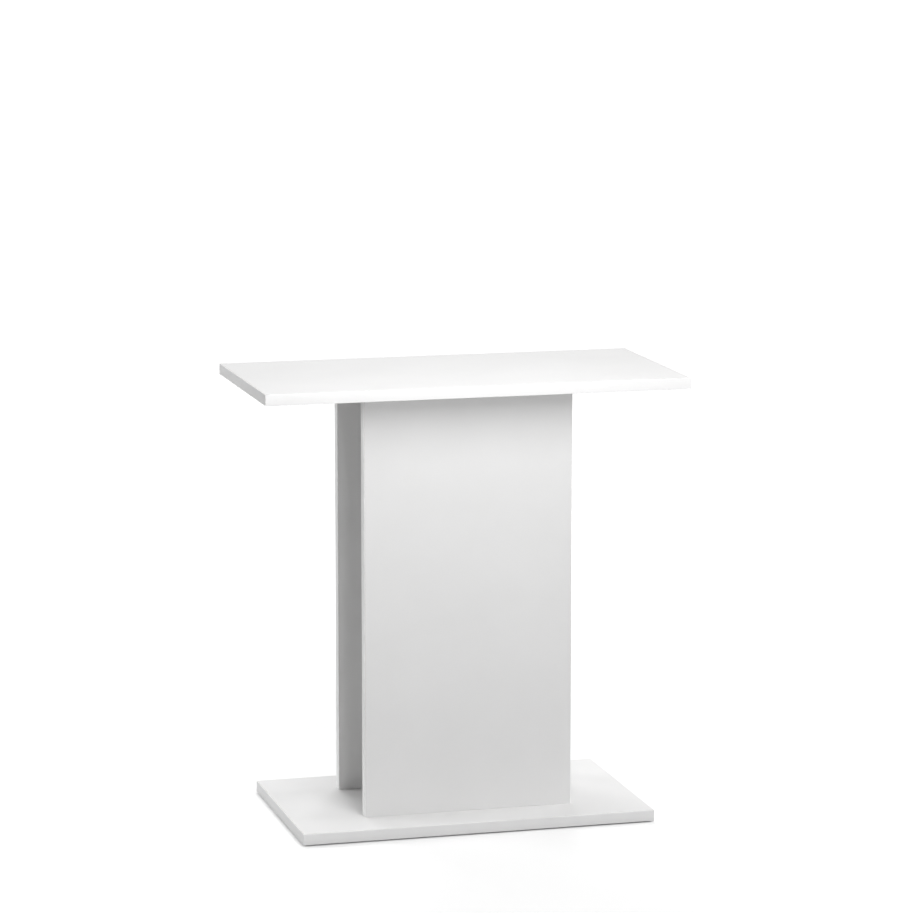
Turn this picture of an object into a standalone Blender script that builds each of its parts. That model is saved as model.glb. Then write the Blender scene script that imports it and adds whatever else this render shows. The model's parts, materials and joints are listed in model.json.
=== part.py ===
"""Open pedestal stand for an aquarium, as a knock-down assembly of boards and fittings.

Metres, +Z up. The origin is on the floor under the middle of the stand. -Y is the front, +X the right.
A top board and a base board are joined by an upright column: a front panel and a rear panel, parallel to
the front, with one web across the middle between them. Eccentric cams draw the top board down on the
panels and the panels on to the web, dowels place them, and screws hold the column from below.
"""

import math
from typing import NamedTuple

import bmesh
import bpy
from mathutils import Matrix, Vector

# Boards
BOARD = 0.016             # thickness of every board
BAND = 0.001              # thickness of an edge band
GAP = 0.0003              # clearance between pieces that touch
TOP_SIZE = (0.610, 0.310)     # width, depth over the edge bands
BASE_SIZE = (0.512, 0.310)
PANEL_WIDTH = 0.303
COLUMN_DEPTH = 0.176      # over the outer faces of the two panels
COLUMN_HEIGHT = 0.604     # between the base board and the top board
FLOOR_GAP = 0.002         # from the floor to the base board's underside

# Levels and planes
BASE_LOW = FLOOR_GAP
BASE_HIGH = BASE_LOW + BOARD
TOP_LOW = BASE_HIGH + COLUMN_HEIGHT
TOP_HIGH = TOP_LOW + BOARD
PANEL_Y = (COLUMN_DEPTH - BOARD) / 2          # middle of a panel's thickness
PANEL_INNER_Y = COLUMN_DEPTH / 2 - BOARD      # face that meets the web
UPRIGHT_LOW = BASE_HIGH + GAP
UPRIGHT_HIGH = TOP_LOW - GAP
WEB_EDGE_Y = PANEL_INNER_Y - GAP

# Where the fittings sit
TOP_CAM_X = 0.085         # cams in the panels, from the middle
TOP_DOWEL_X = 0.117
WEB_TOP_DOWEL_Y = 0.030
WEB_CAM_LEVELS = {"lower": 0.120, "upper": 0.520}
WEB_DOWEL_LEVEL = 0.320
PANEL_SCREW_X = 0.100
WEB_SCREW_Y = 0.040
GLIDE_X = (-0.226, 0.0, 0.226)
GLIDE_Y = 0.125

# Cam fitting: a 15 mm cam that turns in its bore, and a bolt whose head it holds
CAM_RADIUS = 0.0072
CAM_SEAT = 0.0003         # the cam's face lies this far below the board's face
CAM_HEIGHT = 0.0119
CAM_HUB = 0.0030
CAM_WALL_LOCKED = 0.0059  # inner radius of the wall where the head is gripped
CAM_WALL_OPEN = 0.0063    # and where the head goes in
CAM_TURN = 190            # degrees from locked to open
CAM_BORE_RADIUS = 0.0075
CAM_BORE_DEPTH = 0.0128
BOLT_DEPTH = BOARD / 2    # from the board's face to the bolt's axis
BOLT_REACH = 0.024        # from the joint to the cam's axis
HEAD_RADIUS = 0.0028
HEAD_SPACE = 0.0032       # half height of the cam's hollow for the head
NECK_RADIUS = 0.0016
NECK_SPACE = 0.0019       # half height of the slot for the neck
TUNNEL_RADIUS = 0.0040
THREAD_RADIUS = 0.0028
THREAD_LENGTH = 0.011
THREAD_BORE_RADIUS = THREAD_RADIUS + GAP

# Dowel, base screw and glide
DOWEL_RADIUS = 0.0040
DOWEL_LENGTH = 0.030
DOWEL_IN_FACE = 0.011     # how far it goes into the board that it meets square on
SCREW_LENGTH = 0.050
SCREW_HEAD_RADIUS = 0.0050
SCREW_SHANK_RADIUS = 0.0035
SCREW_THREAD_RADIUS = 0.0032
SCREW_SINK = 0.0005       # the head lies this far above the base board's underside
SCREW_SOCKET = 0.0040     # across the flats
GLIDE_RADIUS = 0.011
GLIDE_STEM_RADIUS = 0.0025
GLIDE_STEM_LENGTH = 0.008
BORE_CLEARANCE = 0.0003
OVERSHOOT = 0.002         # how far a drill starts outside the board

SIDES = {"left": -1, "right": 1}
ENDS = {"front": -1, "rear": 1}
X_AXIS = Vector((1, 0, 0))
Y_AXIS = Vector((0, 1, 0))
Z_AXIS = Vector((0, 0, 1))


def clear_scene():
    for item in list(bpy.data.objects):
        bpy.data.objects.remove(item, do_unlink=True)


def make_material(name, colour, roughness, metallic=0.0):
    material = bpy.data.materials.new(name)
    material.use_nodes = True
    shader = material.node_tree.nodes["Principled BSDF"]
    shader.inputs["Base Color"].default_value = (*colour, 1.0)
    shader.inputs["Roughness"].default_value = roughness
    shader.inputs["Metallic"].default_value = metallic
    material.diffuse_color = (*colour, 1.0)
    return material


def mesh_from(work, name, round_piece=False):
    """Turn a bmesh into a mesh with its faces pointing out."""
    bmesh.ops.recalc_face_normals(work, faces=work.faces)
    mesh = bpy.data.meshes.new(name)
    work.to_mesh(mesh)
    work.free()
    if round_piece:
        mesh.shade_smooth()
        mesh.set_sharp_from_angle(angle=math.radians(35))
    return mesh


def add_piece(name, mesh, colour=None):
    piece = bpy.data.objects.new(name, mesh)
    bpy.context.scene.collection.objects.link(piece)
    if colour is not None and not mesh.materials:
        mesh.materials.append(colour)
    return piece


def turn_to(piece, origin, along, across=None):
    """Place a piece with its local Z along one direction and its local X across it."""
    piece.location = origin
    if across is None:
        piece.rotation_euler = along.to_track_quat("Z", "Y").to_euler()
        return
    side = along.cross(across)
    piece.rotation_euler = Matrix((across, side, along)).transposed().to_euler()


# Shapes

def box(size):
    work = bmesh.new()
    bmesh.ops.create_cube(work, size=1.0)
    bmesh.ops.scale(work, vec=size, verts=work.verts)
    return work


def turned(profile, steps):
    """A closed solid of revolution about Z from (radius, height) points that start and end on the axis."""
    work = bmesh.new()
    points = [work.verts.new((radius, 0, height)) for radius, height in profile]
    edges = [work.edges.new(pair) for pair in zip(points, points[1:])]
    bmesh.ops.spin(work, geom=points + edges, axis=Z_AXIS, cent=(0, 0, 0), angle=math.tau, steps=steps)
    bmesh.ops.remove_doubles(work, verts=work.verts, dist=1e-6)
    bmesh.ops.dissolve_degenerate(work, edges=work.edges, dist=1e-6)
    return work


def ring_sector(inner, outer_start, outer_end, low, high, start, end, step=15):
    """Part of a ring about Z between two angles in degrees, whose outer radius may grow along it."""
    work = bmesh.new()
    count = max(2, round(abs(end - start) / step))
    sections = []
    for index in range(count + 1):
        share = index / count
        angle = math.radians(start + (end - start) * share)
        outer = outer_start + (outer_end - outer_start) * share
        corners = ((inner, low), (outer, low), (outer, high), (inner, high))
        sections.append([work.verts.new((radius * math.cos(angle), radius * math.sin(angle), height))
                         for radius, height in corners])
    for one, two in zip(sections, sections[1:]):
        for corner in range(4):
            following = (corner + 1) % 4
            work.faces.new((one[corner], one[following], two[following], two[corner]))
    work.faces.new(sections[0])
    work.faces.new(reversed(sections[-1]))
    return work


def prism(outline, low, high):
    """A closed solid from an outline of (x, y) points between two heights."""
    work = bmesh.new()
    face = work.faces.new([work.verts.new((x, y, low)) for x, y in outline])
    risen = bmesh.ops.extrude_face_region(work, geom=[face])["geom"]
    corners = [item for item in risen if isinstance(item, bmesh.types.BMVert)]
    bmesh.ops.translate(work, vec=(0, 0, high - low), verts=corners)
    return work


# Cutting

def cut(target, cutter):
    cutter.hide_render = True
    cutter.display_type = "WIRE"
    modifier = target.modifiers.new(cutter.name, "BOOLEAN")
    modifier.operation = "DIFFERENCE"
    modifier.solver = "EXACT"
    modifier.object = cutter


def drill(target, label, bores, steps=12):
    """Cut round bores, given as (mouth, direction into the board, radius, depth), out of a board."""
    work = bmesh.new()
    for mouth, direction, radius, depth in bores:
        way = Vector(direction).normalized()
        middle = Vector(mouth) + way * (depth - OVERSHOOT) / 2
        place = Matrix.Translation(middle) @ way.to_track_quat("Z", "Y").to_matrix().to_4x4()
        bmesh.ops.create_cone(work, cap_ends=True, segments=steps, radius1=radius, radius2=radius,
                              depth=depth + OVERSHOOT, matrix=place)
    cut(target, add_piece(f"{target.name}_{label}", mesh_from(work, f"{target.name}_{label}")))


# Boards

def make_board(name, low, high, colour):
    size = Vector(high) - Vector(low)
    board = add_piece(name, mesh_from(box(size), name), colour)
    board.location = (Vector(low) + Vector(high)) / 2
    return board


def make_band(name, centre, outward, along, length, colour):
    """An edge band: its outer two long edges are rounded, its inner face is flat."""
    half = BOARD / 2
    inner = BAND * 0.5
    outline = [(-BAND / 2, -half), (0.0, -half), (inner, -half + inner),
               (inner, half - inner), (0.0, half), (-BAND / 2, half)]
    mesh = mesh_from(prism(outline, -length / 2, length / 2), name)
    band = add_piece(name, mesh, colour)
    turn_to(band, centre, along, outward)
    return band


def band_lying_board(label, size, level, colour):
    """Four bands round a board that lies flat: front and rear run through, the sides fit between them."""
    width, depth = size
    for end, sign in ENDS.items():
        centre = Vector((0, sign * (depth - BAND) / 2, level))
        make_band(f"{label}_band_{end}", centre, Y_AXIS * sign, X_AXIS, width, colour)
    for side, sign in SIDES.items():
        centre = Vector((sign * (width - BAND) / 2, 0, level))
        make_band(f"{label}_band_{side}", centre, X_AXIS * sign, Y_AXIS, depth - 2 * (BAND + GAP), colour)


def make_lying_board(name, label, size, low, board_colour, band_colour):
    half = [extent / 2 - BAND - GAP for extent in size]
    board = make_board(name, (-half[0], -half[1], low), (half[0], half[1], low + BOARD), board_colour)
    band_lying_board(label, size, low + BOARD / 2, band_colour)
    return board


def make_panel(end, sign, board_colour, band_colour):
    half = PANEL_WIDTH / 2 - BAND - GAP
    middle = sign * PANEL_Y
    panel = make_board(f"{end}_panel", (-half, middle - BOARD / 2, UPRIGHT_LOW),
                       (half, middle + BOARD / 2, UPRIGHT_HIGH), board_colour)
    for side, way in SIDES.items():
        centre = Vector((way * (PANEL_WIDTH - BAND) / 2, middle, (UPRIGHT_LOW + UPRIGHT_HIGH) / 2))
        make_band(f"{end}_panel_band_{side}", centre, X_AXIS * way, Z_AXIS,
                  UPRIGHT_HIGH - UPRIGHT_LOW, band_colour)
    return panel


# Fittings

def cam_mesh():
    """The cam: a plug with a spiral hollow for the bolt's head, a slot for its neck and a driver cross.

    Local Z is the cam's axis, out of the board, with the board's face at zero. The bolt comes in along
    local X. Turning the cam by CAM_TURN about Z brings the wide mouth of the slot to the bolt.
    """
    top = -CAM_SEAT
    bottom = top - CAM_HEIGHT
    chamfer = 0.0004
    profile = [(0, bottom), (CAM_RADIUS - chamfer, bottom), (CAM_RADIUS, bottom + chamfer),
               (CAM_RADIUS, top - chamfer), (CAM_RADIUS - chamfer, top), (0, top)]
    plug = add_piece("cam_plug", mesh_from(turned(profile, 24), "cam_plug", round_piece=True))
    head = (-BOLT_DEPTH - HEAD_SPACE, -BOLT_DEPTH + HEAD_SPACE)
    neck = (-BOLT_DEPTH - NECK_SPACE, -BOLT_DEPTH + NECK_SPACE)
    outside = CAM_RADIUS + 0.001
    wall = CAM_WALL_LOCKED - 0.0004
    arm, blade = 0.0030, 0.0008
    cross = [(blade, blade), (blade, arm), (-blade, arm), (-blade, blade), (-arm, blade), (-arm, -blade),
             (-blade, -blade), (-blade, -arm), (blade, -arm), (blade, -blade), (arm, -blade), (arm, blade)]
    hollows = {
        "hollow": ring_sector(CAM_HUB, CAM_WALL_OPEN, CAM_WALL_LOCKED, *head, -CAM_TURN - 45, 45),
        "slot": ring_sector(wall, outside, outside, *neck, -CAM_TURN - 20, 20),
        "mouth": ring_sector(wall, outside, outside, *head, -CAM_TURN - 33, -CAM_TURN + 33, step=11),
        "driver_cross": prism(cross, top - 0.0025, top + 0.001),
    }
    cutters = [add_piece(f"cam_{label}", mesh_from(work, label)) for label, work in hollows.items()]
    for cutter in cutters:
        cut(plug, cutter)
    shape = bpy.data.meshes.new_from_object(plug.evaluated_get(bpy.context.evaluated_depsgraph_get()))
    for leftover in [plug, *cutters]:
        bpy.data.objects.remove(leftover, do_unlink=True)
    shape.name = "cam"
    return shape


def bolt_mesh():
    """The cam bolt along Z: its thread is below zero, in one board, and its head is in the other's cam."""
    back = BOLT_REACH - 0.0050
    front = BOLT_REACH - 0.0033
    collar = THREAD_RADIUS + 0.0006
    shank = 0.0025
    shoulder = BOLT_REACH - CAM_RADIUS - 0.0010
    profile = [(0, -THREAD_LENGTH), (0.0018, -THREAD_LENGTH), (THREAD_RADIUS, -THREAD_LENGTH + 0.0015),
               (THREAD_RADIUS, 0), (collar, 0), (collar, 0.0012), (shank, 0.0012), (shank, shoulder),
               (NECK_RADIUS, shoulder + 0.0005), (NECK_RADIUS, back), (HEAD_RADIUS, back),
               (HEAD_RADIUS, front - 0.0004), (HEAD_RADIUS - 0.0006, front), (0, front)]
    return mesh_from(turned(profile, 10), "cam_bolt", round_piece=True)


def dowel_mesh():
    """A dowel along Z, centred, with chamfered ends."""
    half = DOWEL_LENGTH / 2
    chamfer = 0.0010
    profile = [(0, -half), (DOWEL_RADIUS - chamfer, -half), (DOWEL_RADIUS, -half + chamfer),
               (DOWEL_RADIUS, half - chamfer), (DOWEL_RADIUS - chamfer, half), (0, half)]
    return mesh_from(turned(profile, 12), "dowel", round_piece=True)


def screw_mesh():
    """The base screw along Z, its head's flat face at zero, with a hexagon socket."""
    rim = 0.0010
    cone = rim + SCREW_HEAD_RADIUS - SCREW_SHANK_RADIUS
    shank = BASE_HIGH - BASE_LOW - SCREW_SINK
    profile = [(0, 0), (SCREW_HEAD_RADIUS, 0), (SCREW_HEAD_RADIUS, rim), (SCREW_SHANK_RADIUS, cone),
               (SCREW_SHANK_RADIUS, shank), (SCREW_THREAD_RADIUS, shank + 0.0005),
               (SCREW_THREAD_RADIUS, SCREW_LENGTH - 0.003), (0.0012, SCREW_LENGTH), (0, SCREW_LENGTH)]
    blank = add_piece("screw_blank", mesh_from(turned(profile, 12), "screw_blank", round_piece=True))
    corner = SCREW_SOCKET / math.sqrt(3)
    hexagon = [(corner * math.cos(math.radians(60 * turn)), corner * math.sin(math.radians(60 * turn)))
               for turn in range(6)]
    socket = add_piece("screw_socket", mesh_from(prism(hexagon, -0.001, 0.003), "screw_socket"))
    cut(blank, socket)
    shape = bpy.data.meshes.new_from_object(blank.evaluated_get(bpy.context.evaluated_depsgraph_get()))
    for leftover in (blank, socket):
        bpy.data.objects.remove(leftover, do_unlink=True)
    shape.name = "base_screw"
    return shape


def glide_mesh():
    """A push-in glide: a thin disc on the floor at zero, and a stem up into the base board."""
    disc = FLOOR_GAP - GAP
    chamfer = 0.0006
    tip = disc + GLIDE_STEM_LENGTH
    profile = [(0, 0), (GLIDE_RADIUS - chamfer, 0), (GLIDE_RADIUS, chamfer), (GLIDE_RADIUS, disc),
               (GLIDE_STEM_RADIUS, disc), (GLIDE_STEM_RADIUS, tip - 0.0008),
               (GLIDE_STEM_RADIUS - 0.0008, tip), (0, tip)]
    return mesh_from(turned(profile, 18), "glide", round_piece=True)


class CamJoint(NamedTuple):
    """A joint between two boards that a cam and its bolt draw together."""
    label: str
    holder: str       # the board whose bore the cam turns in
    gripped: str      # the board that the bolt is screwed into
    face: Vector      # out of the holder's face, along the cam's axis
    meeting: Vector   # where the bolt's axis crosses the plane between the boards
    way: Vector       # from there to the cam


def cam_joints():
    joints = []
    for end, sign in ENDS.items():
        panel = f"{end}_panel"
        for side, way in SIDES.items():
            meeting = Vector((way * TOP_CAM_X, sign * PANEL_Y, TOP_LOW - GAP / 2))
            joints.append(CamJoint(f"{end}_{side}", panel, "top_board", Y_AXIS * -sign, meeting, -Z_AXIS))
        for level, height in WEB_CAM_LEVELS.items():
            meeting = Vector((0, sign * (PANEL_INNER_Y - GAP / 2), height))
            joints.append(CamJoint(f"web_{end}_{level}", "centre_web", panel, X_AXIS, meeting,
                                   Y_AXIS * -sign))
    return joints


class DowelJoint(NamedTuple):
    """A dowel that runs from the face of one board into the edge of another."""
    label: str
    faced: str
    entered: str
    meeting: Vector   # where the dowel's axis leaves the face
    way: Vector       # from there into the edge


def dowel_joints():
    joints = []
    for end, sign in ENDS.items():
        panel = f"{end}_panel"
        for side, way in SIDES.items():
            meeting = Vector((way * TOP_DOWEL_X, sign * PANEL_Y, TOP_LOW))
            joints.append(DowelJoint(f"top_{end}_{side}", "top_board", panel, meeting, -Z_AXIS))
        meeting = Vector((0, sign * PANEL_Y, BASE_HIGH))
        joints.append(DowelJoint(f"base_{end}", "base_board", panel, meeting, Z_AXIS))
        meeting = Vector((0, sign * WEB_TOP_DOWEL_Y, TOP_LOW))
        joints.append(DowelJoint(f"web_top_{end}", "top_board", "centre_web", meeting, -Z_AXIS))
        meeting = Vector((0, sign * PANEL_INNER_Y, WEB_DOWEL_LEVEL))
        joints.append(DowelJoint(f"web_{end}", panel, "centre_web", meeting, Y_AXIS * -sign))
    return joints


def screw_places():
    """Each base screw: its label, the upright it enters, and where it stands."""
    places = []
    for end, sign in ENDS.items():
        for side, way in SIDES.items():
            places.append((f"{end}_{side}", f"{end}_panel", Vector((way * PANEL_SCREW_X, sign * PANEL_Y, 0))))
        places.append((f"web_{end}", "centre_web", Vector((0, sign * WEB_SCREW_Y, 0))))
    return places


def glide_places():
    columns = zip(("left", "middle", "right"), GLIDE_X)
    return [(f"{end}_{column}", Vector((x, sign * GLIDE_Y, 0)))
            for column, x in columns for end, sign in ENDS.items()]


def fit_cams(boards, cam_colour, bolt_colour):
    cam, bolt = cam_mesh(), bolt_mesh()
    sockets = {name: [] for name in boards}
    tunnels = {name: [] for name in boards}
    threads = {name: [] for name in boards}
    for joint in cam_joints():
        seat = joint.meeting + joint.way * BOLT_REACH + joint.face * BOLT_DEPTH
        turn_to(add_piece(f"cam_{joint.label}", cam, cam_colour), seat, joint.face, -joint.way)
        turn_to(add_piece(f"cam_bolt_{joint.label}", bolt, bolt_colour), joint.meeting, joint.way)
        sockets[joint.holder].append((seat, -joint.face, CAM_BORE_RADIUS, CAM_BORE_DEPTH))
        tunnels[joint.holder].append((joint.meeting, joint.way, TUNNEL_RADIUS, BOLT_REACH))
        threads[joint.gripped].append((joint.meeting, -joint.way, THREAD_BORE_RADIUS,
                                       THREAD_LENGTH + 2 * GAP))
    for name, board in boards.items():
        if sockets[name]:
            drill(board, "cam_sockets", sockets[name], steps=24)
            drill(board, "bolt_tunnels", tunnels[name])
        if threads[name]:
            drill(board, "bolt_bores", threads[name])


def fit_dowels(boards, colour):
    dowel = dowel_mesh()
    bores = {name: [] for name in boards}
    radius = DOWEL_RADIUS + BORE_CLEARANCE
    in_edge = DOWEL_LENGTH - DOWEL_IN_FACE
    for joint in dowel_joints():
        middle = joint.meeting + joint.way * (DOWEL_LENGTH / 2 - DOWEL_IN_FACE)
        turn_to(add_piece(f"dowel_{joint.label}", dowel, colour), middle, joint.way)
        bores[joint.faced].append((joint.meeting, -joint.way, radius, DOWEL_IN_FACE + BORE_CLEARANCE))
        bores[joint.entered].append((joint.meeting, joint.way, radius, in_edge + BORE_CLEARANCE))
    for name, board in boards.items():
        if bores[name]:
            drill(board, "dowel_bores", bores[name])


def fit_screws(boards, colour):
    screw = screw_mesh()
    heads, shanks = [], []
    pilots = {name: [] for name in boards}
    head_depth = SCREW_SINK + 0.0010 + SCREW_HEAD_RADIUS - SCREW_SHANK_RADIUS + BORE_CLEARANCE
    for label, upright, place in screw_places():
        low = place + Z_AXIS * BASE_LOW
        turn_to(add_piece(f"base_screw_{label}", screw, colour), low + Z_AXIS * SCREW_SINK, Z_AXIS, X_AXIS)
        heads.append((low, Z_AXIS, SCREW_HEAD_RADIUS + BORE_CLEARANCE, head_depth))
        shanks.append((low, Z_AXIS, SCREW_SHANK_RADIUS + BORE_CLEARANCE, BOARD + OVERSHOOT))
        depth = SCREW_SINK + SCREW_LENGTH - BOARD + BORE_CLEARANCE
        pilots[upright].append((place + Z_AXIS * BASE_HIGH, Z_AXIS,
                                SCREW_SHANK_RADIUS + BORE_CLEARANCE, depth))
    drill(boards["base_board"], "screw_shanks", shanks)
    drill(boards["base_board"], "screw_heads", heads, steps=16)
    for name, board in boards.items():
        if pilots[name]:
            drill(board, "screw_pilots", pilots[name])


def fit_glides(base_board, colour):
    glide = glide_mesh()
    bores = []
    for label, place in glide_places():
        add_piece(f"glide_{label}", glide, colour).location = place
        bores.append((place + Z_AXIS * BASE_LOW, Z_AXIS,
                      GLIDE_STEM_RADIUS + BORE_CLEARANCE, GLIDE_STEM_LENGTH + BORE_CLEARANCE))
    drill(base_board, "glide_bores", bores)


def build():
    clear_scene()
    melamine = make_material("melamine", (0.86, 0.86, 0.85), 0.55)
    band_plastic = make_material("band_plastic", (0.88, 0.88, 0.87), 0.42)
    zinc = make_material("zinc", (0.62, 0.63, 0.64), 0.38, 1.0)
    steel = make_material("steel", (0.70, 0.70, 0.71), 0.30, 1.0)
    beech = make_material("beech", (0.72, 0.53, 0.34), 0.70)
    glide_plastic = make_material("glide_plastic", (0.80, 0.80, 0.79), 0.50)

    web_half = BOARD / 2
    boards = {
        "top_board": make_lying_board("top_board", "top", TOP_SIZE, TOP_LOW, melamine, band_plastic),
        "base_board": make_lying_board("base_board", "base", BASE_SIZE, BASE_LOW, melamine, band_plastic),
        "front_panel": make_panel("front", ENDS["front"], melamine, band_plastic),
        "rear_panel": make_panel("rear", ENDS["rear"], melamine, band_plastic),
        "centre_web": make_board("centre_web", (-web_half, -WEB_EDGE_Y, UPRIGHT_LOW),
                                 (web_half, WEB_EDGE_Y, UPRIGHT_HIGH), melamine),
    }
    fit_cams(boards, zinc, steel)
    fit_dowels(boards, beech)
    fit_screws(boards, steel)
    fit_glides(boards["base_board"], glide_plastic)


build()
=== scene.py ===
"""The finished aquarium stand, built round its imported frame.

Every board, edge band and fitting is remodelled at full detail in the place that the frame gives it, and
each cam rides on the body that turns it. Metres, +Z up, -Y the front of the stand.
"""

import json
import math

import bmesh
import bpy
from mathutils import Matrix, Vector


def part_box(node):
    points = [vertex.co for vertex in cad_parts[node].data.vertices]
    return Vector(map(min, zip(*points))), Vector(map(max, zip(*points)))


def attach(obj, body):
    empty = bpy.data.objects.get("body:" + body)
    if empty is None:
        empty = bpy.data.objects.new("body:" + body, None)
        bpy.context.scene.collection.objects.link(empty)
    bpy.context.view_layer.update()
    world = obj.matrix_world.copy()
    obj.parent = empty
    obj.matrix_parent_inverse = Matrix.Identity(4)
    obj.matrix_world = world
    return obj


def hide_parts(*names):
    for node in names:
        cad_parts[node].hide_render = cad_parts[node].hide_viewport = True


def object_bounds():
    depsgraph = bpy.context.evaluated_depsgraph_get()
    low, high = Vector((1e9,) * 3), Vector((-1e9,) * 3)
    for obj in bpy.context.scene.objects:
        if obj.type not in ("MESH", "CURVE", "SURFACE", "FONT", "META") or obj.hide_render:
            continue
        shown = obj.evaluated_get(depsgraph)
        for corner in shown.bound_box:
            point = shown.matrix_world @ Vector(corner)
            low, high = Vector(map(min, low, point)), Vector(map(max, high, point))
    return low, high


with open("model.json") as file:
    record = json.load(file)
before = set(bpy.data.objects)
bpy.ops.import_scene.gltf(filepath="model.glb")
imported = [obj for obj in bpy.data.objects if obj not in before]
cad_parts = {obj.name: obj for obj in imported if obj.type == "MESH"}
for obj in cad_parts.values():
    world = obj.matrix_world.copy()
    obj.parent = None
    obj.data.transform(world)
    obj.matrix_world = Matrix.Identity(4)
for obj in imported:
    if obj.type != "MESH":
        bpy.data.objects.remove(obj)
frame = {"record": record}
cad_low, cad_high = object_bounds()

RECORD = frame["record"]
BODY_OF = {node: body for body, nodes in RECORD["behaviour"]["bodies"].items() for node in nodes}
NODES = sorted(BODY_OF)
BOARDS = ("top_board", "base_board", "front_panel", "rear_panel", "centre_web")

# Fit between pieces
CAD_GAP = 0.0003          # clearance that the frame leaves between touching pieces
SEAM = 0.00005            # hairline that is left between them here
CLOSE = CAD_GAP - SEAM
GROWS = {"front_panel": (0, 0, 1), "rear_panel": (0, 0, 1), "centre_web": (0, 1, 1)}

# Edges
BAND_ROUND = 0.0008       # radius of an edge band's outer corners
BAND_END_ROUND = 0.0003
BOARD_ARRIS = 0.00012
SHARP = math.radians(35)  # edges steeper than this are shaded sharp

# Radii of the bores for the fittings, and how far a bore runs out of the board's face
CAM_BORE = 0.0075
TUNNEL = 0.0040           # from a panel's edge to a cam, for the bolt
BOLT_BORE = 0.00285
DOWEL_BORE = 0.00405
SCREW_BORE = 0.00355
SCREW_HEAD_BORE = 0.0052
SCREW_HEAD_SINK = 0.0031
GLIDE_BORE = 0.00255
RUN_OUT = 0.001

# Cam fitting, about the cam's own axis
CAM_SEAT = 0.0003         # from the board's face down to the cam's face
CAM_HUB = 0.0030
CAM_WALL = (0.0063, 0.0059)   # inner radius of the wall, from the open end to the locked end
CAM_TURN = 190            # degrees from locked to open
BOLT_DEPTH = 0.008        # from the board's face to the bolt's axis
HEAD_SPACE = 0.0032       # half the height of the hollow for the bolt's head, and for its neck
NECK_SPACE = 0.0019


# Mesh helpers

def mesh_from(work, name, *materials):
    """Turn a bmesh into a smoothly shaded mesh with faces pointing out."""
    bmesh.ops.recalc_face_normals(work, faces=work.faces)
    mesh = bpy.data.meshes.new(name)
    work.to_mesh(mesh)
    work.free()
    for material in materials:
        mesh.materials.append(material)
    mesh.shade_smooth()
    mesh.set_sharp_from_angle(angle=SHARP)
    return mesh


def loose_object(name, mesh):
    made = bpy.data.objects.new(name, mesh)
    bpy.context.scene.collection.objects.link(made)
    return made


def carved(mesh, cutters):
    """The mesh with the cutters' meshes taken out of it, one after another."""
    blank = loose_object("blank", mesh)
    tools = [loose_object("tool", cutter) for cutter in cutters]
    for tool in tools:
        cut = blank.modifiers.new("cut", "BOOLEAN")
        cut.operation = "DIFFERENCE"
        cut.solver = "EXACT"
        cut.object = tool
    depsgraph = bpy.context.evaluated_depsgraph_get()
    result = bpy.data.meshes.new_from_object(blank.evaluated_get(depsgraph))
    for item in [blank, *tools]:
        bpy.data.objects.remove(item, do_unlink=True)
    work = bmesh.new()
    work.from_mesh(result)
    bmesh.ops.dissolve_degenerate(work, dist=1e-6, edges=work.edges)
    work.to_mesh(result)
    work.free()
    result.set_sharp_from_angle(angle=SHARP)
    return result


def add_bevel(piece, width, angle=40):
    bevel = piece.modifiers.new("arris", "BEVEL")
    bevel.width = width
    bevel.segments = 2
    bevel.limit_method = "ANGLE"
    bevel.angle_limit = math.radians(angle)
    bevel.harden_normals = True


def stand_in(node, mesh, place=None):
    """Add the detailed piece for a frame node, on the node's body and with its finish."""
    piece = loose_object(f"{node}_detail", mesh)
    if place is not None:
        piece.matrix_world = place
    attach(piece, BODY_OF[node])
    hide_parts(node)
    return piece


def placed(origin, along, across=None):
    """A matrix with local Z along one direction and, if it is given, local X across it."""
    if across is None:
        return Matrix.Translation(origin) @ along.to_track_quat("Z", "Y").to_matrix().to_4x4()
    turn = Matrix((across, along.cross(across), along)).transposed()
    return Matrix.Translation(origin) @ turn.to_4x4()


def rounded(profile, radius, steps=3):
    """An open (radius, height) profile with its inner corners rounded."""
    points = [Vector(point) for point in profile]
    result = [points[0]]
    for before, corner, after in zip(points, points[1:], points[2:]):
        reach = min(radius, (before - corner).length * 0.45, (after - corner).length * 0.45)
        start = corner + (before - corner).normalized() * reach
        end = corner + (after - corner).normalized() * reach
        for index in range(steps + 1):
            share = index / steps
            result.append(start.lerp(corner, share).lerp(corner.lerp(end, share), share))
    return [tuple(point) for point in [*result, points[-1]]]


def turned(rings, steps, shape=None):
    """A closed solid of (radius, height) rings about Z; shape(radius, angle, height) may vary them."""
    work = bmesh.new()
    loops = []
    for radius, height in rings:
        loop = []
        for index in range(steps):
            angle = math.tau * index / steps
            reach = shape(radius, angle, height) if shape else radius
            loop.append(work.verts.new((reach * math.cos(angle), reach * math.sin(angle), height)))
        loops.append(loop)
    for one, two in zip(loops, loops[1:]):
        for index in range(steps):
            after = (index + 1) % steps
            work.faces.new((one[index], one[after], two[after], two[index]))
    work.faces.new(reversed(loops[0]))
    work.faces.new(loops[-1])
    return work


def prism(outline, low, high):
    """A straight solid of an (x, y) outline between two heights."""
    work = bmesh.new()
    face = work.faces.new([work.verts.new((x, y, low)) for x, y in outline])
    risen = bmesh.ops.extrude_face_region(work, geom=[face])["geom"]
    corners = [item for item in risen if isinstance(item, bmesh.types.BMVert)]
    bmesh.ops.translate(work, vec=(0, 0, high - low), verts=corners)
    return work


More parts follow.
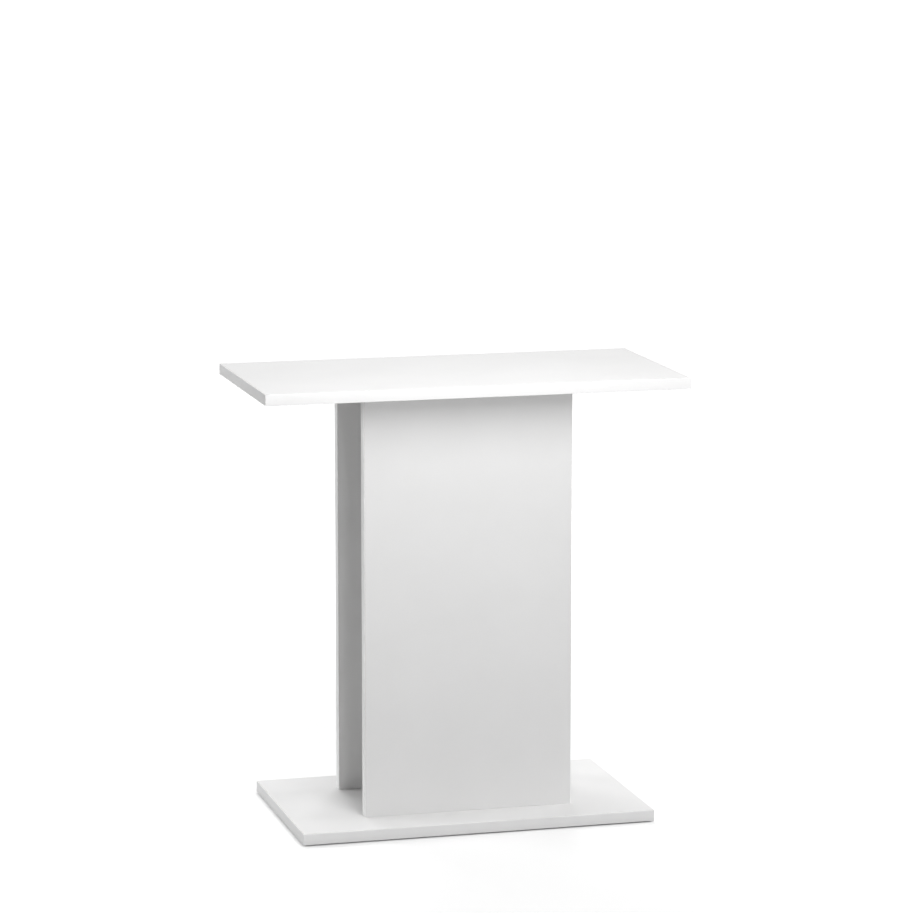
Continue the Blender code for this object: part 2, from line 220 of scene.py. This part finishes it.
def ring_sector(inner, outer, low, high, start, end, step=5):
    """Part of a ring about Z between two angles in degrees; outer is its radius at each of them."""
    work = bmesh.new()
    count = round(abs(end - start) / step)
    sections = []
    for index in range(count + 1):
        share = index / count
        angle = math.radians(start + (end - start) * share)
        rim = outer[0] + (outer[1] - outer[0]) * share
        corners = ((inner, low), (rim, low), (rim, high), (inner, high))
        cosine, sine = math.cos(angle), math.sin(angle)
        sections.append([work.verts.new((radius * cosine, radius * sine, height))
                         for radius, height in corners])
    for one, two in zip(sections, sections[1:]):
        for corner in range(4):
            following = (corner + 1) % 4
            work.faces.new((one[corner], one[following], two[following], two[corner]))
    work.faces.new(sections[0])
    work.faces.new(reversed(sections[-1]))
    return work


def thread(crest, pitch, low, high):
    """A ring shape that winds a ridge up to the crest radius between two heights, fading out at both."""
    def shape(radius, angle, height):
        if not low < height < high:
            return radius
        turn = (height / pitch - angle / math.tau) % 1
        ridge = max(0.0, 1 - abs(turn - 0.5) / 0.26)
        fade = min(1.0, (height - low) / pitch, (high - height) / pitch)
        return radius + (crest - radius) * ridge * fade
    return shape


# Where things are in the frame

def middle(node):
    low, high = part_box(node)
    return (Vector(low) + Vector(high)) / 2


def size_of(node):
    low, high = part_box(node)
    return Vector(high) - Vector(low)


def turning_axis(node):
    """The index of the axis that a turned fitting lies along: its other two sizes are alike."""
    size = size_of(node)
    unlike = [abs(size[(axis + 1) % 3] - size[(axis + 2) % 3]) for axis in range(3)]
    return unlike.index(min(unlike))


def unit(axis, sign=1.0):
    return Vector([math.copysign(1.0, sign) if index == axis else 0.0 for index in range(3)])


def meets(board, node, least=0.001):
    """True if a fitting reaches at least this far into a board."""
    low_a, high_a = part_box(board)
    low_b, high_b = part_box(node)
    return all(min(high_a[axis], high_b[axis]) - max(low_a[axis], low_b[axis]) > least
               for axis in range(3))


def family(node):
    for name in ("cam_bolt", "cam", "dowel", "base_screw", "glide"):
        if node.startswith(name + "_"):
            return name
    return "board" if node in BOARDS else "band"


def nodes_in(name):
    return [node for node in NODES if family(node) == name]


# Materials

def start_material(name, roughness, metallic=0.0):
    material = bpy.data.materials.new(name)
    material.use_nodes = True
    tree = material.node_tree
    shader = tree.nodes["Principled BSDF"]
    shader.inputs["Roughness"].default_value = roughness
    shader.inputs["Metallic"].default_value = metallic
    return material, tree, shader


def add_node(tree, kind, inputs=None, **settings):
    """Add a node; inputs are values, or sockets to link from."""
    made = tree.nodes.new(kind)
    for name, value in settings.items():
        setattr(made, name, value)
    for name, value in (inputs or {}).items():
        if isinstance(value, bpy.types.NodeSocket):
            tree.links.new(value, made.inputs[name])
        else:
            made.inputs[name].default_value = value
    return made


def position(tree, stretch=(1, 1, 1)):
    coordinates = add_node(tree, "ShaderNodeTexCoord").outputs["Object"]
    mapping = add_node(tree, "ShaderNodeMapping", {"Vector": coordinates, "Scale": stretch})
    return mapping.outputs["Vector"]


def noise(tree, vector, scale, detail=2.0, roughness=0.5):
    return add_node(tree, "ShaderNodeTexNoise", {"Vector": vector, "Scale": scale, "Detail": detail,
                                                 "Roughness": roughness}).outputs["Fac"]


def ramp(tree, factor, stops):
    """A colour ramp from (place, colour) stops."""
    made = add_node(tree, "ShaderNodeValToRGB", {"Fac": factor})
    elements = made.color_ramp.elements
    while len(elements) < len(stops):
        elements.new(0.5)
    for element, (place, colour) in zip(elements, stops):
        element.position = place
        element.color = (*colour, 1.0)
    return made.outputs["Color"]


def spread(tree, factor, low, high):
    """Map a 0 to 1 factor, mostly near its middle, on to a range."""
    return add_node(tree, "ShaderNodeMapRange", {"Value": factor, "From Min": 0.3, "From Max": 0.7,
                                                 "To Min": low, "To Max": high}).outputs["Result"]


def bump(tree, shader, height, distance, strength):
    made = add_node(tree, "ShaderNodeBump", {"Height": height, "Distance": distance,
                                             "Strength": strength})
    tree.links.new(made.outputs["Normal"], shader.inputs["Normal"])


def multiply(tree, colour, shade):
    mixed = add_node(tree, "ShaderNodeMix", {"Factor": 1.0, "A": colour, "B": shade},
                     data_type="RGBA", blend_type="MULTIPLY")
    return next(socket for socket in mixed.outputs if socket.enabled)


def voronoi(tree, vector, scale, **settings):
    return add_node(tree, "ShaderNodeTexVoronoi", {"Vector": vector, "Scale": scale}, **settings).outputs


def red_of(tree, colour):
    return add_node(tree, "ShaderNodeSeparateColor", {"Color": colour}).outputs["Red"]


def grey(level, warmth=0.0):
    return (level + warmth, level, level - warmth)


def melamine():
    """White melamine paper on chipboard: a fine pearl texture, and faint cloudiness in its print."""
    material, tree, shader = start_material("white_melamine", 0.45)
    place = position(tree)
    cloud = noise(tree, place, 9, detail=4)
    fibre = noise(tree, place, 850, detail=3, roughness=0.7)
    tone = ramp(tree, cloud, [(0.3, grey(0.785, 0.002)), (0.7, grey(0.81, 0.002))])
    fine = ramp(tree, fibre, [(0.3, grey(0.975)), (0.62, grey(1.0))])
    tree.links.new(multiply(tree, tone, fine), shader.inputs["Base Color"])
    tree.links.new(spread(tree, fibre, 0.38, 0.52), shader.inputs["Roughness"])
    bump(tree, shader, noise(tree, place, 620, detail=1), 0.00006, 0.4)
    return material


def chipboard(thin):
    """The boards' core where a bore or a cut edge shows it: chips pressed flat across the thin axis."""
    material, tree, shader = start_material(f"chipboard_core_{'xyz'[thin]}", 0.9)
    place = position(tree, [2.8 if axis == thin else 1.0 for axis in range(3)])
    wander = add_node(tree, "ShaderNodeTexNoise", {"Vector": place, "Scale": 700.0, "Detail": 2.0})
    bent = add_node(tree, "ShaderNodeVectorMath", {0: wander.outputs["Color"], 1: [0.0011] * 3, 2: place},
                    operation="MULTIPLY_ADD").outputs["Vector"]
    chips = voronoi(tree, bent, 480)["Color"]
    splinters = voronoi(tree, bent, 1300)["Color"]
    gaps = voronoi(tree, bent, 480, feature="DISTANCE_TO_EDGE")["Distance"]
    tone = ramp(tree, red_of(tree, chips), [(0.0, (0.30, 0.19, 0.10)), (0.25, (0.47, 0.33, 0.20)),
                                            (1.0, (0.62, 0.47, 0.31))])
    fine = ramp(tree, red_of(tree, splinters), [(0.0, grey(0.62)), (0.5, grey(0.88)), (1.0, grey(1.0))])
    dark = ramp(tree, gaps, [(0.0, grey(0.38)), (0.09, grey(1.0))])
    tree.links.new(multiply(tree, multiply(tree, tone, fine), dark), shader.inputs["Base Color"])
    bump(tree, shader, gaps, 0.0004, 0.7)
    return material


def band_plastic(name="white_edging", roughness=0.36, low=0.865, high=0.885, streak=0.00003):
    """White ABS edging: a little glossier than the faces, with faint extrusion lines along its length."""
    material, tree, shader = start_material(name, roughness)
    lengthwise = noise(tree, position(tree, (1, 1, 0.012)), 1600, detail=2)
    cloud = noise(tree, position(tree), 14, detail=3)
    tone = ramp(tree, cloud, [(0.3, grey(low, 0.001)), (0.7, grey(high, 0.001))])
    tree.links.new(tone, shader.inputs["Base Color"])
    gloss = spread(tree, lengthwise, roughness - 0.06, roughness + 0.06)
    tree.links.new(gloss, shader.inputs["Roughness"])
    bump(tree, shader, lengthwise, streak, 0.5)
    return material


def scraped_and_highlit_plastic():
    """The edging's corners, dulled by the scraper that rounded them and lighter than its faces: partly
    the whitening that the scraper leaves, partly a painted highlight along the arrises.
    """
    return band_plastic("scraped_edging_painted_highlight", roughness=0.55, low=0.92, high=0.95, streak=0.00005)


def cast_zinc():
    """Die-cast zinc, tumbled dull: grainy, with darker flow marks."""
    material, tree, shader = start_material("cast_zinc", 0.42, 1.0)
    place = position(tree)
    flow = noise(tree, place, 260, detail=4, roughness=0.65)
    grain = noise(tree, place, 2600, detail=2)
    tone = ramp(tree, flow, [(0.3, (0.40, 0.41, 0.43)), (0.5, (0.55, 0.56, 0.58)),
                             (0.75, (0.66, 0.67, 0.68))])
    tree.links.new(tone, shader.inputs["Base Color"])
    tree.links.new(spread(tree, grain, 0.34, 0.55), shader.inputs["Roughness"])
    bump(tree, shader, grain, 0.00004, 0.6)
    return material


def plated_steel():
    """Blue-white zinc plate on rolled steel, with fine turning marks round the axis."""
    material, tree, shader = start_material("plated_steel", 0.28, 1.0)
    stain = noise(tree, position(tree), 320, detail=3)
    marks = noise(tree, position(tree, (0.05, 0.05, 1)), 5200, detail=2)
    tone = ramp(tree, stain, [(0.3, (0.56, 0.59, 0.63)), (0.7, (0.74, 0.75, 0.76))])
    tree.links.new(tone, shader.inputs["Base Color"])
    tree.links.new(spread(tree, marks, 0.20, 0.38), shader.inputs["Roughness"])
    bump(tree, shader, marks, 0.00002, 0.4)
    return material


def beech():
    """Bare beech along local Z: straight grain with short dark rays."""
    material, tree, shader = start_material("bare_beech", 0.72)
    grain = noise(tree, position(tree, (1, 1, 0.05)), 900, detail=4, roughness=0.6)
    rays = voronoi(tree, position(tree, (1, 1, 0.28)), 1500)["Distance"]
    tone = ramp(tree, grain, [(0.3, (0.52, 0.33, 0.18)), (0.55, (0.70, 0.50, 0.31)),
                              (0.8, (0.79, 0.61, 0.42))])
    fleck = ramp(tree, rays, [(0.10, grey(0.72)), (0.28, grey(1.0))])
    tree.links.new(multiply(tree, tone, fleck), shader.inputs["Base Color"])
    bump(tree, shader, grain, 0.00008, 0.7)
    return material


def glide_plastic():
    """Hard off-white polyethylene with a spark-eroded skin."""
    material, tree, shader = start_material("glide_plastic", 0.5)
    place = position(tree)
    skin = noise(tree, place, 1900, detail=2)
    cloud = noise(tree, place, 120, detail=3)
    tone = ramp(tree, cloud, [(0.3, grey(0.70, 0.006)), (0.7, grey(0.76, 0.006))])
    tree.links.new(tone, shader.inputs["Base Color"])
    tree.links.new(spread(tree, skin, 0.42, 0.60), shader.inputs["Roughness"])
    bump(tree, shader, skin, 0.00004, 0.6)
    return material


# Boards

def bore(node, radius, start_spare, end_spare):
    """A round cutter along a fitting, longer than it by a spare length at its low and its high end."""
    axis = turning_axis(node)
    low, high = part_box(node)
    start, end = middle(node), middle(node)
    start[axis], end[axis] = low[axis] - start_spare, high[axis] + end_spare
    return start, end, radius


def bores_of(board):
    """The round cutters for the fittings in a board: those for its cams, and those for the rest."""
    sockets, shafts = [], []
    cams = [node for node in nodes_in("cam") if meets(board, node)]
    for node in cams:
        outward = middle(node)[turning_axis(node)] > middle(board)[turning_axis(node)]
        spares = (CAD_GAP, RUN_OUT) if outward else (RUN_OUT, CAD_GAP)
        sockets.append(bore(node, CAM_BORE, *spares))
    for node in NODES:
        if not meets(board, node):
            continue
        kind = family(node)
        if kind == "cam_bolt":
            holds_cam = node.replace("cam_bolt", "cam") in cams
            shafts.append(bore(node, TUNNEL if holds_cam else BOLT_BORE, CAD_GAP, CAD_GAP))
        elif kind == "dowel":
            shafts.append(bore(node, DOWEL_BORE, CAD_GAP, CAD_GAP))
        elif kind == "base_screw":
            shafts.append(bore(node, SCREW_BORE, RUN_OUT, CAD_GAP))
        elif kind == "glide":
            shafts.append(bore(node, GLIDE_BORE, RUN_OUT, CAD_GAP))
    return sockets, shafts


def bore_mesh(bores, steps=48):
    """The cutters as one mesh. Its second material, the board's core, goes on to the bores' walls."""
    work = bmesh.new()
    for start, end, radius in bores:
        way = end - start
        place = placed((start + end) / 2, way.normalized())
        bmesh.ops.create_cone(work, cap_ends=True, segments=steps, radius1=radius, radius2=radius,
                              depth=way.length, matrix=place)
    for face in work.faces:
        face.material_index = 1
    return mesh_from(work, "bores", None, None)


def screw_head_bores():
    """Wider, shallow cutters that sink the base screws' heads."""
    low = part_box("base_board")[0]
    bores = []
    for node in nodes_in("base_screw"):
        start, end = middle(node), middle(node)
        start[2], end[2] = low[2] - RUN_OUT, low[2] + SCREW_HEAD_SINK
        bores.append((start, end, SCREW_HEAD_BORE))
    return bores


def make_board(board, face_material, core_materials):
    """A board with melamine faces, a chipboard core in its cut edges and bores, and eased arrises."""
    size = size_of(board)
    thin = list(size).index(min(size))
    size += 2 * CLOSE * Vector(GROWS.get(board, (0, 0, 0)))
    work = bmesh.new()
    bmesh.ops.create_cube(work, size=1.0)
    bmesh.ops.scale(work, vec=size, verts=work.verts)
    bmesh.ops.translate(work, vec=middle(board), verts=work.verts)
    work.normal_update()
    for face in work.faces:
        face.material_index = 0 if abs(face.normal[thin]) > 0.5 else 1
    mesh = mesh_from(work, board, face_material, core_materials[thin])
    sockets, shafts = bores_of(board)
    groups = [bores for bores in (sockets, shafts) if bores]
    if board == "base_board":
        groups.append(screw_head_bores())
    piece = stand_in(board, carved(mesh, [bore_mesh(bores) for bores in groups]))
    add_bevel(piece, BOARD_ARRIS)


def make_band(node, *materials):
    """An edge band: flat on the board, its outer corners scraped round, its ends eased.

    Bands that don't run from left to right end against other pieces, so both of their ends close up.
    """
    size = size_of(node)
    thin = list(size).index(min(size))
    long = list(size).index(max(size))
    centre = middle(node)
    outward = unit(thin, centre[thin] - (cad_low[thin] + cad_high[thin]) / 2)
    half = size[3 - thin - long] / 2
    face = size[thin] / 2
    back = -face - CLOSE
    arc = [(face - BAND_ROUND * (1 - math.cos(angle)), half - BAND_ROUND * (1 - math.sin(angle)))
           for angle in (math.radians(90 * index / 6) for index in range(7))]
    outline = [(back, half)] + [(x, y) for x, y in reversed(arc)]
    outline += [(x, -y) for x, y in reversed(outline)]
    length = size[long] + (2 * CLOSE if long != 0 else 0)
    work = prism(outline, -length / 2, length / 2)
    work.normal_update()
    # The rounded corners take the second material, whose lighter colour is partly scraper whitening and
    # partly a painted highlight.
    for face in work.faces:
        face.material_index = 1 if max(abs(part) for part in face.normal) < 0.995 else 0
    piece = stand_in(node, mesh_from(work, node, *materials), placed(centre, unit(long), outward))
    add_bevel(piece, BAND_END_ROUND, angle=60)


def make_cams(material):
    """The cams: a spiral hollow for the bolt's head, a slot for its neck, a driver cross and an arrow."""
    nodes = nodes_in("cam")
    size, axis = size_of(nodes[0]), turning_axis(nodes[0])
    radius, height = size[(axis + 1) % 3] / 2, size[axis]
    top, bottom = -CAM_SEAT, -CAM_SEAT - height
    profile = rounded([(0.0005, bottom), (radius, bottom), (radius, top), (0.0005, top)], 0.0004)
    head = (-BOLT_DEPTH - HEAD_SPACE, -BOLT_DEPTH + HEAD_SPACE)
    neck = (-BOLT_DEPTH - NECK_SPACE, -BOLT_DEPTH + NECK_SPACE)
    outside = (radius + 0.001, radius + 0.001)
    wall = CAM_WALL[1] - 0.0004
    arm, blade = 0.0030, 0.00075
    cross = [(blade, blade), (blade, arm), (-blade, arm), (-blade, blade), (-arm, blade),
             (-arm, -blade), (-blade, -blade), (-blade, -arm), (blade, -arm), (blade, -blade),
             (arm, -blade), (arm, blade)]
    mark = math.radians(-CAM_TURN)
    arrow = [(reach * math.cos(mark + turn), reach * math.sin(mark + turn))
             for reach, turn in ((0.0064, 0.0), (0.0042, 0.36), (0.0042, -0.36))]
    hollows = [
        ring_sector(CAM_HUB, CAM_WALL, *head, -CAM_TURN - 45, 45),
        ring_sector(wall, outside, *neck, -CAM_TURN - 20, 20),
        ring_sector(wall, outside, *head, -CAM_TURN - 33, -CAM_TURN + 33, step=3),
        prism(cross, top - 0.0025, top + 0.001),
        turned([(0.0001, top - 0.0032), (0.0017, top - 0.0004), (0.0019, top + 0.001)], 24),
        prism(arrow, top - 0.0007, top + 0.001),
    ]
    blank = mesh_from(turned(profile, 72), "cam")
    shape = carved(blank, [mesh_from(work, "hollow") for work in hollows])
    shape.name = "cam"
    shape.materials.append(material)
    for node in nodes:
        axis = turning_axis(node)
        board = next(name for name in BOARDS if meets(name, node))
        face = unit(axis, middle(node)[axis] - middle(board)[axis])
        bolt = node.replace("cam", "cam_bolt")
        to_bolt = unit(turning_axis(bolt), (middle(bolt) - middle(node))[turning_axis(bolt)])
        origin = middle(node) + face * (height / 2 + CAM_SEAT)
        stand_in(node, shape, placed(origin, face, to_bolt))


def make_bolts(material):
    """The cam bolts: coarse thread in one board, a stop collar, a shank and a head for the cam."""
    core, crest = 0.0021, 0.0028
    low, high = -0.0108, -0.0003
    count = 46
    rings = rounded([(0.0006, -0.0110), (0.0015, -0.0110), (core, -0.0104)], 0.0003)
    first = low + 0.0006
    rings += [(core, first + (high - first) * index / count) for index in range(count + 1)]
    collar, shank, neck, head = 0.0034, 0.0025, 0.0016, 0.0028
    rings += rounded([(core, -0.0001), (collar, 0.0), (collar, 0.0012), (shank, 0.0012), (shank, 0.0158),
                      (neck, 0.0163), (neck, 0.0190), (head, 0.0190), (head, 0.0207), (0.0006, 0.0207)],
                     0.00035)
    mesh = mesh_from(turned(rings, 36, thread(crest, 0.0022, low, high)), "cam_bolt", material)
    for node in nodes_in("cam_bolt"):
        axis = turning_axis(node)
        to_cam = (middle(node.replace("cam_bolt", "cam")) - middle(node))[axis]
        way = unit(axis, to_cam)
        tip = middle(node) - way * size_of(node)[axis] / 2
        stand_in(node, mesh, placed(tip + way * 0.0110, way))


def make_screws(material):
    """The base screws: flat head with a hexagon socket, plain shank, deep thread and a stub tip."""
    core, crest, length = 0.0024, 0.0032, 0.050
    low, high = 0.0162, length - 0.0012
    count = 110
    rings = rounded([(0.0006, 0.0), (0.0050, 0.0), (0.0050, 0.0010), (0.0035, 0.0025), (0.0035, 0.0155),
                     (core, 0.0160)], 0.0003)
    rings += [(core, low + (length - 0.003 - low) * index / count) for index in range(count + 1)]
    rings += rounded([(core, length - 0.0029), (0.0012, length), (0.0004, length)], 0.0004)
    blank = mesh_from(turned(rings, 36, thread(crest, 0.0030, low, high)), "base_screw", material)
    corner = 0.0040 / math.sqrt(3)
    hexagon = [(corner * math.cos(angle), corner * math.sin(angle))
               for angle in (math.radians(60 * turn) for turn in range(6))]
    mesh = carved(blank, [mesh_from(prism(hexagon, -0.001, 0.003), "socket")])
    mesh.name = "base_screw"
    for node in nodes_in("base_screw"):
        start = middle(node)
        start[2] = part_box(node)[0][2]
        stand_in(node, mesh, placed(start, unit(2)))


def make_dowels(material):
    """The dowels: fluted lengthwise for glue, with chamfered ends."""
    radius, half, chamfer = 0.0040, 0.015, 0.0012
    flutes, depth = 18, 0.00028

    def fluted(reach, angle, height):
        return reach - depth * (0.5 - 0.5 * math.cos(flutes * angle)) ** 3 * min(1.0, reach / radius)

    rings = rounded([(0.0004, -half), (radius - chamfer, -half), (radius, -half + chamfer),
                     (radius, half - chamfer), (radius - chamfer, half), (0.0004, half)], 0.0003)
    mesh = mesh_from(turned(rings, flutes * 8, fluted), "dowel", material)
    for node in nodes_in("dowel"):
        stand_in(node, mesh, placed(middle(node), unit(turning_axis(node))))


def make_glides(material):
    """The glides: a thin disc with a rounded rim, and a barbed stem in the base board."""
    low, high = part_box(nodes_in("glide")[0])
    radius, tip = (high[0] - low[0]) / 2, high[2]
    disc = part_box("base_board")[0][2] - SEAM
    stem, barb = 0.0021, 0.0025
    barbs = []
    for index in range(4):
        foot = disc + 0.0012 + index * 0.0016
        barbs += [(stem, foot), (barb, foot + 0.0002), (stem, foot + 0.0013)]
    profile = [(0.0005, 0.0), (radius, 0.0), (radius, disc), (stem, disc), *barbs,
               (stem - 0.0006, tip), (0.0005, tip)]
    mesh = mesh_from(turned(rounded(profile, 0.0006), 64), "glide", material)
    for node in nodes_in("glide"):
        start = middle(node)
        start[2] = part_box(node)[0][2]
        stand_in(node, mesh, placed(start, unit(2)))


# Stage, light and camera

FLOOR_SIZE = 40.0
FLOOR_TONE = 0.70         # seen by the camera
FLOOR_BOUNCE = 0.50       # seen by everything else
FLOOR_GLOW = (0.28, 1.05)     # near the stand and far from it
FLOOR_FADE = (0.6, 2.6)   # distances between which the glow grows
PAINTED_SHADOW_RIM = 0.005        # width of the rim under the base board where the glow dies away, leaving a painted dark shadow line under the board
AROUND = Vector((0, 0, 0.45))     # middle of the sphere that the lights are placed on
AIM = Vector((0, 0, 0.35))


def calculate(tree, operation, *values):
    made = add_node(tree, "ShaderNodeMath", dict(enumerate(values)), operation=operation)
    return made.outputs["Value"]


def for_camera(tree, others, camera):
    """A factor with one value for camera rays and another for all others."""
    seen = add_node(tree, "ShaderNodeLightPath").outputs["Is Camera Ray"]
    return add_node(tree, "ShaderNodeMapRange", {"Value": seen, "To Min": others,
                                                 "To Max": camera}).outputs["Result"]


def make_floor():
    """A plain pale floor. It glows a little, more towards the distance; under the base board the glow is
    shut off, a painted dark shadow line beneath the board.
    """
    work = bmesh.new()
    bmesh.ops.create_grid(work, x_segments=1, y_segments=1, size=FLOOR_SIZE)
    material, tree, shader = start_material("floor", 0.85)
    tree.links.new(for_camera(tree, FLOOR_BOUNCE, FLOOR_TONE), shader.inputs["Base Color"])
    place = position(tree)
    distance = add_node(tree, "ShaderNodeVectorMath", {"Vector": place}, operation="LENGTH")
    glow = add_node(tree, "ShaderNodeMapRange", {"Value": distance.outputs["Value"],
                                                 "From Min": FLOOR_FADE[0], "From Max": FLOOR_FADE[1],
                                                 "To Min": FLOOR_GLOW[0], "To Max": FLOOR_GLOW[1]},
                    interpolation_type="SMOOTHSTEP").outputs["Result"]
    axes = add_node(tree, "ShaderNodeSeparateXYZ", {"Vector": place}).outputs
    # Shut the glow off under the base board: a painted shadow beneath the board, with the glow dying away
    # over the rim.
    beside = [calculate(tree, "SUBTRACT", calculate(tree, "ABSOLUTE", axes[axis]),
                        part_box("base_board")[1][axis]) for axis in (0, 1)]
    outside = add_node(tree, "ShaderNodeMapRange", {"Value": calculate(tree, "MAXIMUM", *beside),
                                                    "From Min": -PAINTED_SHADOW_RIM, "From Max": 0.0})
    glow = calculate(tree, "MULTIPLY", glow, outside.outputs["Result"])
    glow = calculate(tree, "MULTIPLY", glow, for_camera(tree, 0.0, 1.0))
    shader.inputs["Emission Color"].default_value = (1, 1, 1, 1)
    tree.links.new(glow, shader.inputs["Emission Strength"])
    loose_object("floor", mesh_from(work, "floor", material))


def softbox(name, azimuth, elevation, distance, size, power):
    """An area light, not itself seen; azimuth 0 is in front of the stand and 90 to its right."""
    around, up = math.radians(azimuth), math.radians(elevation)
    way = Vector((math.sin(around) * math.cos(up), -math.cos(around) * math.cos(up), math.sin(up)))
    light = bpy.data.lights.new(name, "AREA")
    light.shape = "RECTANGLE"
    light.size, light.size_y = size
    light.energy = power
    lamp = loose_object(name, light)
    lamp.visible_camera = False
    lamp.location = AROUND + way * distance
    lamp.rotation_mode = "QUATERNION"
    lamp.rotation_quaternion = (lamp.location - AIM).to_track_quat("Z", "Y")


def make_light():
    """Two near softboxes shade the front downwards; the others fill the sides, the edges and the tops."""
    softbox("key", 8, 47, 1.3, (0.6, 0.4), 5.9)
    softbox("front", 0, 30, 1.3, (0.6, 0.4), 5.5)
    softbox("front_low", 0, 8, 2.3, (0.8, 0.6), 10.2)
    softbox("left_rear", -115, 12, 2.4, (1.0, 0.6), 26.5)
    softbox("right", 90, 20, 2.4, (1.2, 1.0), 30)
    softbox("back", 180, 50, 3.0, (2.0, 1.0), 66)
    world = bpy.data.worlds.new("studio")
    world.use_nodes = True
    tree = world.node_tree
    background = tree.nodes["Background"]
    background.inputs["Color"].default_value = (1, 1, 1, 1)
    tree.links.new(for_camera(tree, 0.04, 1.0), background.inputs["Strength"])
    bpy.context.scene.world = world


CAMERA_PLACE = (-1.398, -5.214, 1.432)
CAMERA_YAW = 15.07        # degrees to the right of straight ahead
CAMERA_PITCH = 9.65       # degrees down
CAMERA_LENS = 151.7       # mm on a 36 mm sensor


def make_camera():
    """The photograph's viewing angle: from the left of the front and a little above, without a shift."""
    camera = bpy.data.cameras.new("camera")
    camera.sensor_width = 36
    camera.lens = CAMERA_LENS
    camera.clip_end = 100
    holder = loose_object("camera", camera)
    holder.location = CAMERA_PLACE
    holder.rotation_euler = (math.radians(90 - CAMERA_PITCH), 0, math.radians(-CAMERA_YAW))
    bpy.context.scene.camera = holder
    bpy.context.scene.view_settings.view_transform = "Standard"


def build():
    make_camera()
    faces, cores = melamine(), [chipboard(thin) for thin in range(3)]
    for board in BOARDS:
        make_board(board, faces, cores)
    # The bands' rounded corners get a lighter colour: partly scraper whitening, partly a painted
    # highlight.
    edging, corners = band_plastic(), scraped_and_highlit_plastic()
    for node in nodes_in("band"):
        make_band(node, edging, corners)
    steel = plated_steel()
    make_cams(cast_zinc())
    make_bolts(steel)
    make_screws(steel)
    make_dowels(beech())
    make_glides(glide_plastic())
    make_floor()
    make_light()


build()
